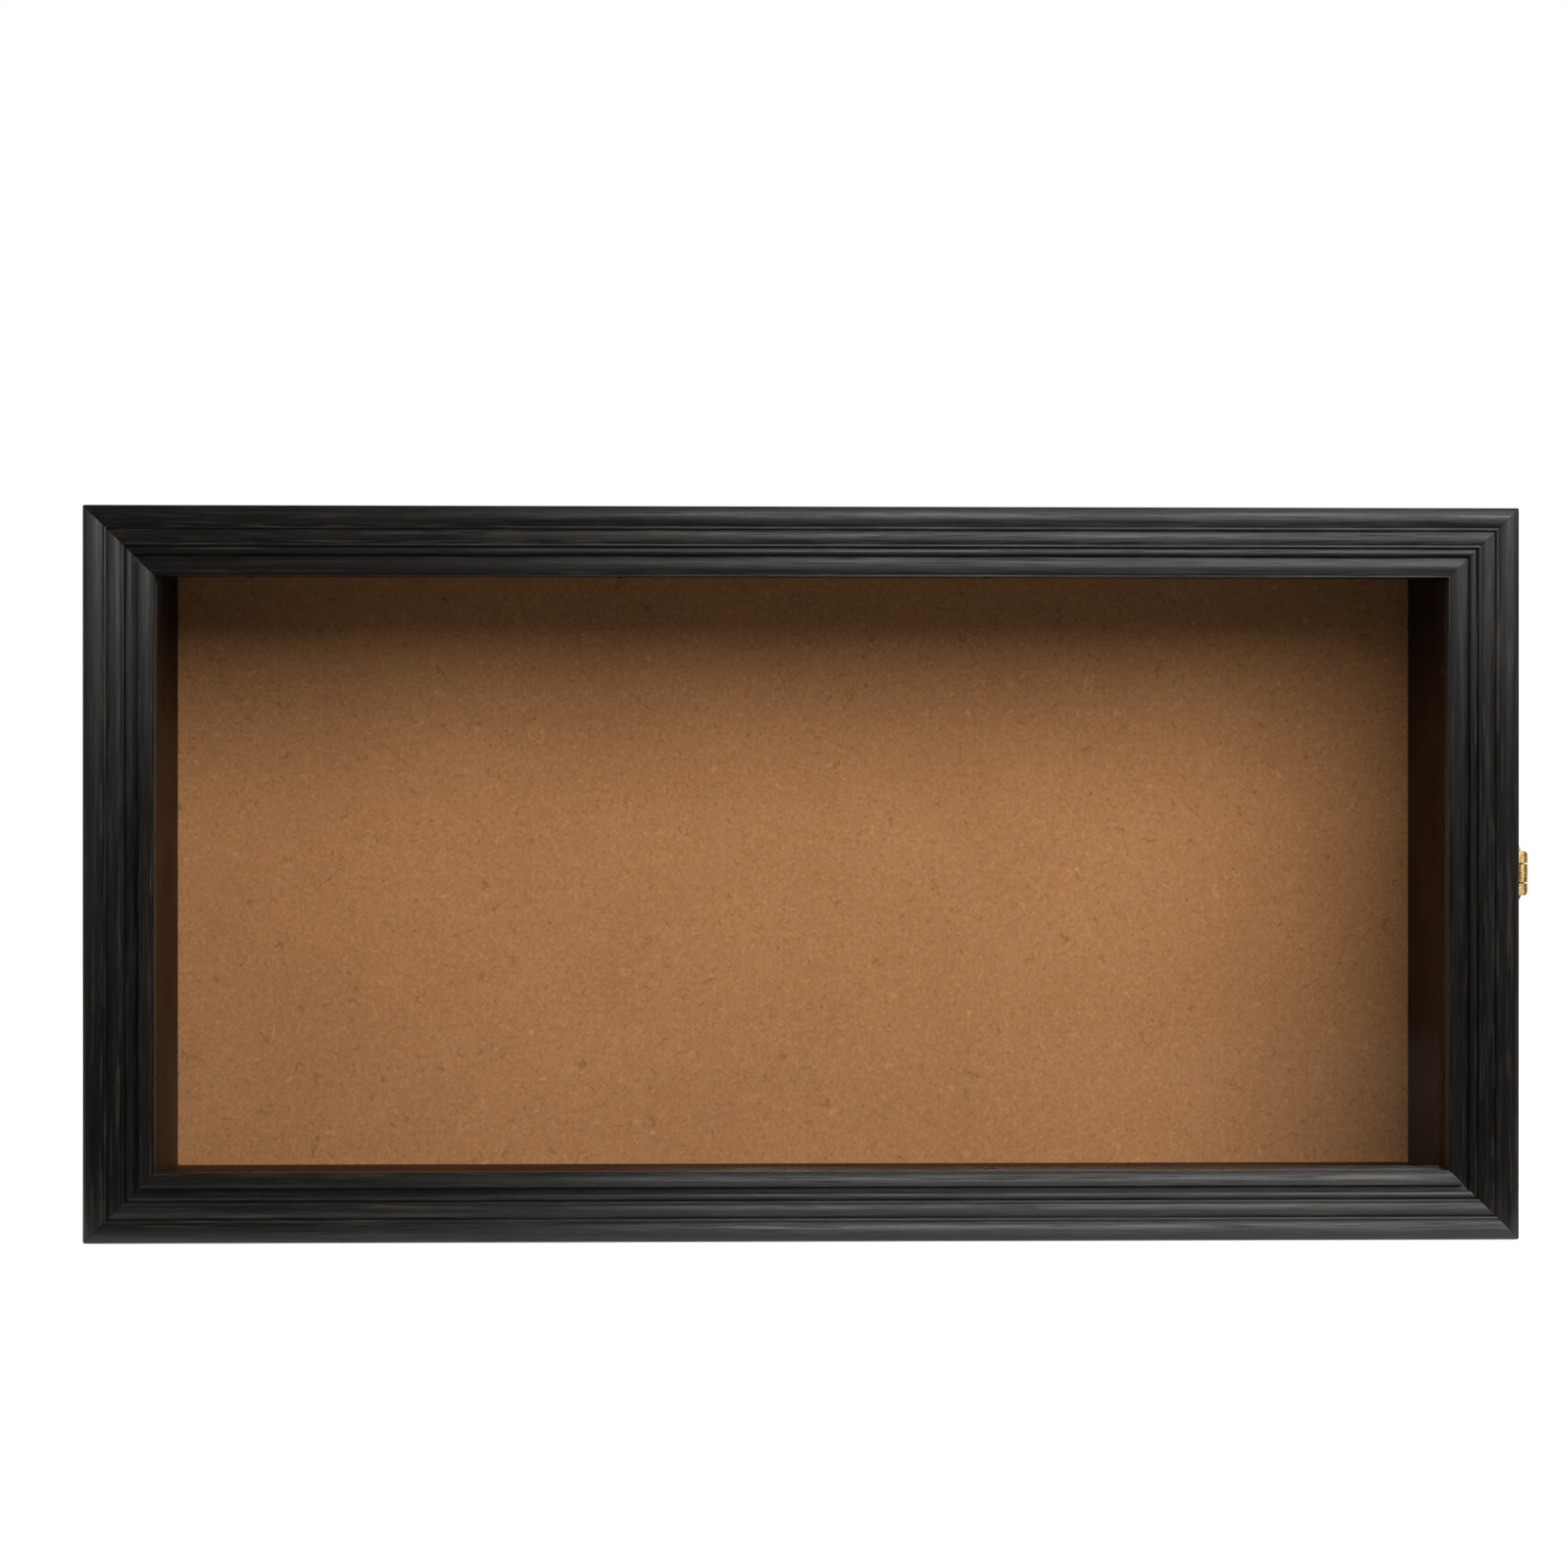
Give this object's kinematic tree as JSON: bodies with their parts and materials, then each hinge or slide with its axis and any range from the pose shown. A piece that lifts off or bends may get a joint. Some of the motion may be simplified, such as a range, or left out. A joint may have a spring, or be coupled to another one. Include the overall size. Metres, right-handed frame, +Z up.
{
  "type": "butterfly display case",
  "caption": "Shallow black wooden display case for mounted butterflies, with a hinged glazed door in reeded moulding, a box clasp and a soft board for pins.",
  "frame": {"origin": "middle of the flat underside of the case, on the surface it stands on; the door in front isn't counted in the middle", "axes": "+X to the right along the longest side, +Y to the back along the shortest side with the glazed door facing -Y, +Z up, away from the underside"},
  "size_m": [0.4075, 0.0988, 0.205],
  "materials": {
    "black_wood": "satin stain over open grain",
    "dark_wood": "satin dark brown lining",
    "brown_board": "matt brown fibreboard with fine dark specks",
    "hardboard": "matt pressed hardboard",
    "clear_glass": "clear float glass",
    "brass": "bright stamped brass",
    "steel": "plain bright wire"
  },
  "bodies": {
    "case": {"case_top": "black_wood", "case_bottom": "black_wood", "case_left_side": "black_wood", "case_right_side": "black_wood", "liner_top": "dark_wood", "liner_bottom": "dark_wood", "liner_left": "dark_wood", "liner_right": "dark_wood", "pinning_board": "brown_board", "back_panel": "hardboard", "back_panel_brads": "steel", "sawtooth_hanger": "brass", "hanger_nails": "steel", "upper_hinge_case_leaf": "brass", "lower_hinge_case_leaf": "brass", "upper_hinge_pin": "brass", "lower_hinge_pin": "brass", "hinge_case_screws": "brass", "clasp_catch_plate": "brass", "clasp_catch_nails": "brass"},
    "door": {"door_top_rail": "black_wood", "door_bottom_rail": "black_wood", "door_left_stile": "black_wood", "door_right_stile": "black_wood", "door_corner_nails": "steel", "glass_pane": "clear_glass", "glazing_bead_top": "dark_wood", "glazing_bead_bottom": "dark_wood", "glazing_bead_left": "dark_wood", "glazing_bead_right": "dark_wood", "glazing_pins": "steel", "upper_hinge_door_leaf": "brass", "lower_hinge_door_leaf": "brass", "hinge_door_screws": "brass", "clasp_door_plate": "brass", "clasp_door_nails": "brass", "clasp_pin": "steel"},
    "lever": {"clasp_lever": "brass"}
  },
  "joints": [
    {"name": "door_hinge", "type": "hinge", "parent": "case", "child": "door", "pos_m": [-0.2002, -0.0392, 0.1025], "axis": [0, 0, -1], "range_deg": [0, 180]},
    {"name": "clasp_hinge", "type": "hinge", "parent": "door", "child": "lever", "pos_m": [0.2036, -0.0422, 0.1025], "axis": [0, 0, -1], "range_deg": [0, 130]}
  ]
}
